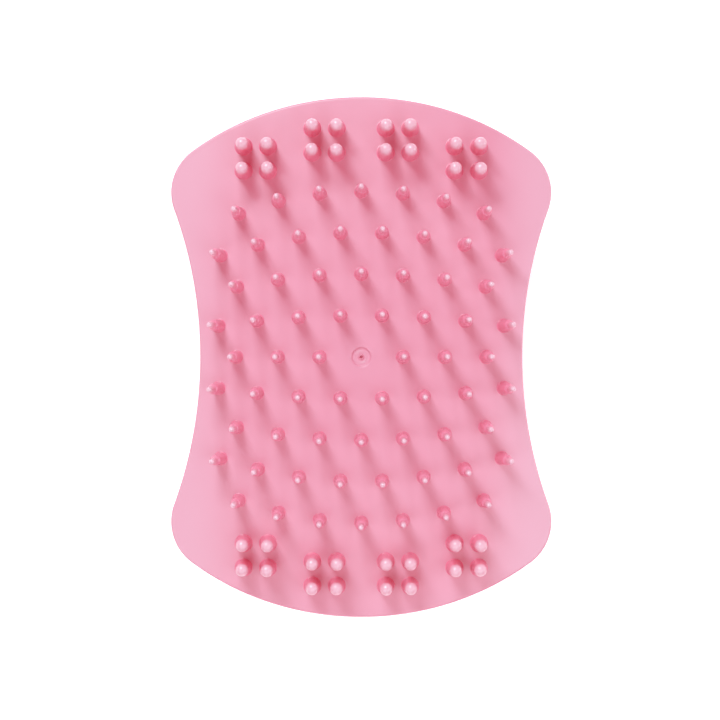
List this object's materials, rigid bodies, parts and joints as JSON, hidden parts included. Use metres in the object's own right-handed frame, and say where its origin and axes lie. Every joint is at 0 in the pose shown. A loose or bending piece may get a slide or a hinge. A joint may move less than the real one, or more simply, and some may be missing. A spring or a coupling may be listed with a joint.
{
  "type": "scalp massager brush",
  "caption": "Palm-held scalp massager with a soft hourglass pad of slender exfoliating teeth and thicker round-tipped massage teeth, snapped onto a rigid domed grip shell",
  "frame": {"origin": "centre of the small flat patch on the back of the grip shell, which is the bottom centre of the whole part as it lies on its back with the teeth up", "axes": "+Z the way the teeth point, away from the palm; +Y along the length; +X across the width"},
  "size_m": [0.0704, 0.096, 0.038],
  "materials": {
    "tooth_pad": "satin, slightly translucent pink elastomer",
    "exfoliating_teeth": "satin, translucent pink elastomer with paler pin tips",
    "massage_teeth": "frosted, translucent pink elastomer with pearly ball tips",
    "grip_shell": "smooth glossy pink plastic"
  },
  "bodies": {
    "root": {"pad_skin": "tooth_pad", "exfoliating_row_1": "exfoliating_teeth", "exfoliating_row_2": "exfoliating_teeth", "exfoliating_row_3": "exfoliating_teeth", "exfoliating_row_4": "exfoliating_teeth", "exfoliating_row_5": "exfoliating_teeth", "exfoliating_row_6": "exfoliating_teeth", "exfoliating_row_7": "exfoliating_teeth", "exfoliating_row_8": "exfoliating_teeth", "exfoliating_row_9": "exfoliating_teeth", "massage_cluster_1": "massage_teeth", "massage_cluster_2": "massage_teeth", "massage_cluster_3": "massage_teeth", "massage_cluster_4": "massage_teeth", "massage_cluster_5": "massage_teeth", "massage_cluster_6": "massage_teeth", "massage_cluster_7": "massage_teeth", "massage_cluster_8": "massage_teeth", "grip_shell": "grip_shell"}
  },
  "joints": []
}
